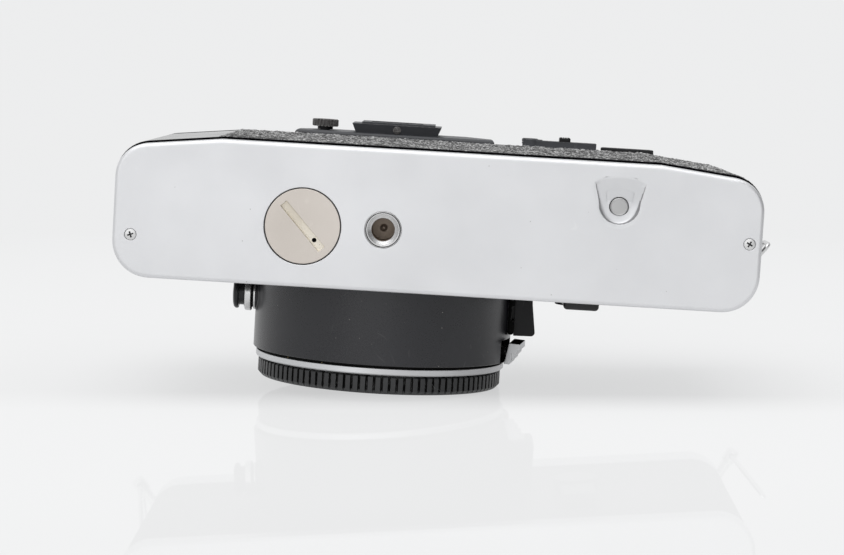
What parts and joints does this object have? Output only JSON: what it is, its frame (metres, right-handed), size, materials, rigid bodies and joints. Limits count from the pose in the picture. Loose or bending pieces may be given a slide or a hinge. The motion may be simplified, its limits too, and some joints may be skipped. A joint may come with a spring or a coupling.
{
  "type": "single-lens reflex camera body",
  "caption": "Film camera body for interchangeable lenses, resting on its mount cap, with opening film door, winding gear, shutter, swinging mirror and the controls on its faces.",
  "frame": {"origin": "centre of the body cap's rest face, on the optical axis", "axes": "+X to the advance lever's side, +Y from bottom plate to accessory shoe, +Z from the cap to the film door"},
  "size_m": [0.1612, 0.0967, 0.0612],
  "materials": {
    "satin_silver": "satin",
    "bright_metal": "polished",
    "brushed_metal": "brushed",
    "nickel": "satin",
    "cast_aluminium": "matt",
    "black_metal": "satin black",
    "black_steel": "satin black",
    "black_plastic": "matt",
    "cap_plastic": "satin",
    "black_leather": "grained",
    "optical_glass": "clear",
    "ground_glass": "matt",
    "mirror_glass": "mirror",
    "cell_steel": "bright",
    "foam": "soft",
    "index_red": "gloss",
    "spring_steel": "bright"
  },
  "bodies": {
    "camera_body": {"body_casting": "cast_aluminium", "mirror_box": "black_metal", "lens_mount_surround": "black_metal", "mount_flange": "brushed_metal", "cross_head_screws": "bright_metal", "index_dot": "index_red", "bottom_plate": "satin_silver", "tripod_socket": "bright_metal", "button_cells": "cell_steel", "top_cover": "satin_silver", "front_leather": "black_leather", "door_hinge_pin": "brushed_metal", "foam_seals": "foam", "focusing_screen": "ground_glass", "pentaprism": "optical_glass", "eyepiece_lens": "optical_glass", "eyepiece_panel": "black_plastic", "eyepiece_frame": "black_plastic", "shutter_frame": "black_metal", "release_collar": "bright_metal", "frame_counter_window": "optical_glass", "hot_shoe": "black_steel", "power_switch_plate": "black_plastic", "lens_release_collar": "bright_metal", "strap_lugs": "bright_metal"},
    "body_cap": {"body_cap": "cap_plastic"},
    "battery_cover": {"battery_cover": "nickel"},
    "rewind_release_button": {"rewind_release_button": "bright_metal"},
    "back_door": {"back_door": "black_metal", "door_leather": "black_leather", "pressure_plate_spring": "spring_steel"},
    "pressure_plate": {"pressure_plate": "black_steel"},
    "eyepiece_blind": {"eyepiece_blind": "black_steel"},
    "eyepiece_blind_knob": {"eyepiece_blind_knob": "black_plastic"},
    "first_curtain_upper": {"first_curtain_upper": "spring_steel"},
    "first_curtain_lower": {"first_curtain_lower": "spring_steel"},
    "second_curtain_upper": {"second_curtain_upper": "spring_steel"},
    "second_curtain_lower": {"second_curtain_lower": "spring_steel"},
    "mirror": {"reflex_mirror": "mirror_glass", "mirror_holder": "black_steel"},
    "film_sprocket": {"film_sprocket": "black_plastic"},
    "takeup_spool": {"takeup_spool": "black_plastic"},
    "rewind_sleeve": {"rewind_sleeve": "brushed_metal"},
    "rewind_knob": {"rewind_shaft": "brushed_metal", "rewind_knob": "bright_metal"},
    "rewind_crank": {"rewind_crank": "bright_metal"},
    "exposure_ring": {"exposure_ring": "bright_metal"},
    "shutter_speed_dial": {"shutter_speed_dial": "bright_metal"},
    "shutter_release_button": {"shutter_release_button": "bright_metal"},
    "advance_lever": {"advance_lever": "bright_metal", "advance_lever_tip": "black_plastic"},
    "frame_counter_dial": {"frame_counter_dial": "black_plastic"},
    "power_switch_slider": {"power_switch_slider": "black_plastic"},
    "self_timer_lever": {"self_timer_lever": "black_steel"},
    "lens_release_button": {"lens_release_button": "black_steel"},
    "stop_down_lever": {"stop_down_lever": "bright_metal"},
    "preview_slider": {"preview_slider": "black_plastic"},
    "strap_ring_left": {"strap_ring_left": "bright_metal"},
    "strap_ring_right": {"strap_ring_right": "bright_metal"}
  },
  "joints": [
    {"name": "cap_twist", "type": "hinge", "parent": "camera_body", "child": "body_cap", "pos_m": [0, 0, 0], "axis": [0, 0, 1], "range_deg": [0, 60]},
    {"name": "battery_cover_turn", "type": "hinge", "parent": "camera_body", "child": "battery_cover", "pos_m": [-0.0181, -0.043, 0.03875], "axis": [0, -1, 0], "range_deg": [0, 90]},
    {"name": "rewind_release_press", "type": "slide", "parent": "camera_body", "child": "rewind_release_button", "axis": [0, 1, 0], "range_m": [0, 0.0012], "stiffness_N_per_m": 300, "springref_m": -0.002},
    {"name": "door_swing", "type": "hinge", "parent": "camera_body", "child": "back_door", "pos_m": [0.08395, 0, 0.0485], "axis": [0, 1, 0], "range_deg": [0, 110]},
    {"name": "pressure_plate_give", "type": "slide", "parent": "back_door", "child": "pressure_plate", "axis": [0, 0, 1], "range_m": [0, 0.0006], "stiffness_N_per_m": 400, "springref_m": -0.002, "deforming": ["pressure_plate_spring"]},
    {"name": "blind_knob_turn", "type": "hinge", "parent": "camera_body", "child": "eyepiece_blind_knob", "pos_m": [-0.0179, 0.0336, 0.058], "axis": [0, 0, 1], "range_deg": [0, 60]},
    {"name": "blind_slide", "type": "slide", "parent": "camera_body", "child": "eyepiece_blind", "axis": [0, -1, 0], "range_m": [0, 0.01]},
    {"name": "first_curtain_run", "type": "slide", "parent": "camera_body", "child": "first_curtain_upper", "axis": [0, -1, 0], "range_m": [0, 0.0256]},
    {"name": "first_curtain_follow", "type": "slide", "parent": "camera_body", "child": "first_curtain_lower", "axis": [0, -1, 0], "range_m": [0, 0.0134]},
    {"name": "second_curtain_run", "type": "slide", "parent": "camera_body", "child": "second_curtain_lower", "axis": [0, -1, 0], "range_m": [0, 0.0255]},
    {"name": "second_curtain_follow", "type": "slide", "parent": "camera_body", "child": "second_curtain_upper", "axis": [0, -1, 0], "range_m": [0, 0.0133]},
    {"name": "mirror_swing", "type": "hinge", "parent": "camera_body", "child": "mirror", "pos_m": [0, 0.01266, 0.04468], "axis": [1, 0, 0], "range_deg": [0, 50], "stiffness_Nm_per_rad": 0.01, "springref_deg": -22.92},
    {"name": "advance_stroke", "type": "hinge", "parent": "camera_body", "child": "advance_lever", "pos_m": [0.0542, 0.036, 0.0426], "axis": [0, 1, 0], "range_deg": [0, 120], "stiffness_Nm_per_rad": 0.01, "springref_deg": -28.65},
    {"name": "sprocket_turn", "type": "hinge", "parent": "camera_body", "child": "film_sprocket", "pos_m": [0.0335, 0, 0.0455], "axis": [0, 1, 0], "range_deg": [0, 360]},
    {"name": "spool_turn", "type": "hinge", "parent": "camera_body", "child": "takeup_spool", "pos_m": [0.0542, 0, 0.0426], "axis": [0, 1, 0], "range_deg": [0, 326]},
    {"name": "counter_turn", "type": "hinge", "parent": "camera_body", "child": "frame_counter_dial", "pos_m": [0.0705, 0.033, 0.0445], "axis": [0, 1, 0], "range_deg": [0, 10]},
    {"name": "rewind_lift", "type": "slide", "parent": "camera_body", "child": "rewind_sleeve", "axis": [0, 1, 0], "range_m": [0, 0.01]},
    {"name": "rewind_turn", "type": "hinge", "parent": "rewind_sleeve", "child": "rewind_knob", "pos_m": [-0.0446, 0.036, 0.0426], "axis": [0, 1, 0], "continuous": true},
    {"name": "crank_fold", "type": "hinge", "parent": "rewind_knob", "child": "rewind_crank", "pos_m": [-0.0511, 0.0434, 0.0426], "axis": [0, 0, 1], "range_deg": [0, 150]},
    {"name": "exposure_ring_turn", "type": "hinge", "parent": "camera_body", "child": "exposure_ring", "pos_m": [-0.0446, 0.036, 0.0426], "axis": [0, 1, 0], "range_deg": [-45, 45]},
    {"name": "speed_dial_turn", "type": "hinge", "parent": "camera_body", "child": "shutter_speed_dial", "pos_m": [0.0352, 0.037, 0.042], "axis": [0, 1, 0], "range_deg": [0, 300]},
    {"name": "shutter_release_press", "type": "slide", "parent": "camera_body", "child": "shutter_release_button", "axis": [0, -1, 0], "range_m": [0, 0.0016], "stiffness_N_per_m": 400, "springref_m": -0.002},
    {"name": "power_switch_slide", "type": "slide", "parent": "camera_body", "child": "power_switch_slider", "axis": [1, 0, 0], "range_m": [0, 0.004]},
    {"name": "self_timer_turn", "type": "hinge", "parent": "camera_body", "child": "self_timer_lever", "pos_m": [0.0464, -0.008, 0.024], "axis": [0, 0, 1], "range_deg": [0, 110]},
    {"name": "lens_release_press", "type": "slide", "parent": "camera_body", "child": "lens_release_button", "axis": [1, 0, 0], "range_m": [0, 0.0012], "stiffness_N_per_m": 400, "springref_m": -0.002},
    {"name": "stop_down_turn", "type": "hinge", "parent": "camera_body", "child": "stop_down_lever", "pos_m": [0, 0, 0.0096], "axis": [0, 0, -1], "range_deg": [0, 10], "stiffness_Nm_per_rad": 0.02, "springref_deg": -8.59},
    {"name": "preview_slide", "type": "slide", "parent": "camera_body", "child": "preview_slider", "axis": [0, -1, 0], "range_m": [0, 0.0045]},
    {"name": "left_ring_swing", "type": "hinge", "parent": "camera_body", "child": "strap_ring_left", "pos_m": [-0.06338, 0.031, 0.02595], "axis": [0, -1, 0], "range_deg": [-5, 170]},
    {"name": "right_ring_swing", "type": "hinge", "parent": "camera_body", "child": "strap_ring_right", "pos_m": [0.08778, 0.031, 0.02595], "axis": [0, 1, 0], "range_deg": [-40, 150]}
  ],
  "couplings": [
    {"joint": "sprocket_turn", "follows": "advance_stroke", "ratio": 2.999},
    {"joint": "spool_turn", "follows": "advance_stroke", "ratio": 2.7},
    {"joint": "counter_turn", "follows": "advance_stroke", "ratio": 0.0833},
    {"joint": "blind_knob_turn", "follows": "blind_slide", "rad_per_m": 104.7},
    {"joint": "first_curtain_follow", "follows": "first_curtain_run", "ratio": 0.5234},
    {"joint": "second_curtain_follow", "follows": "second_curtain_run", "ratio": 0.5215}
  ]
}
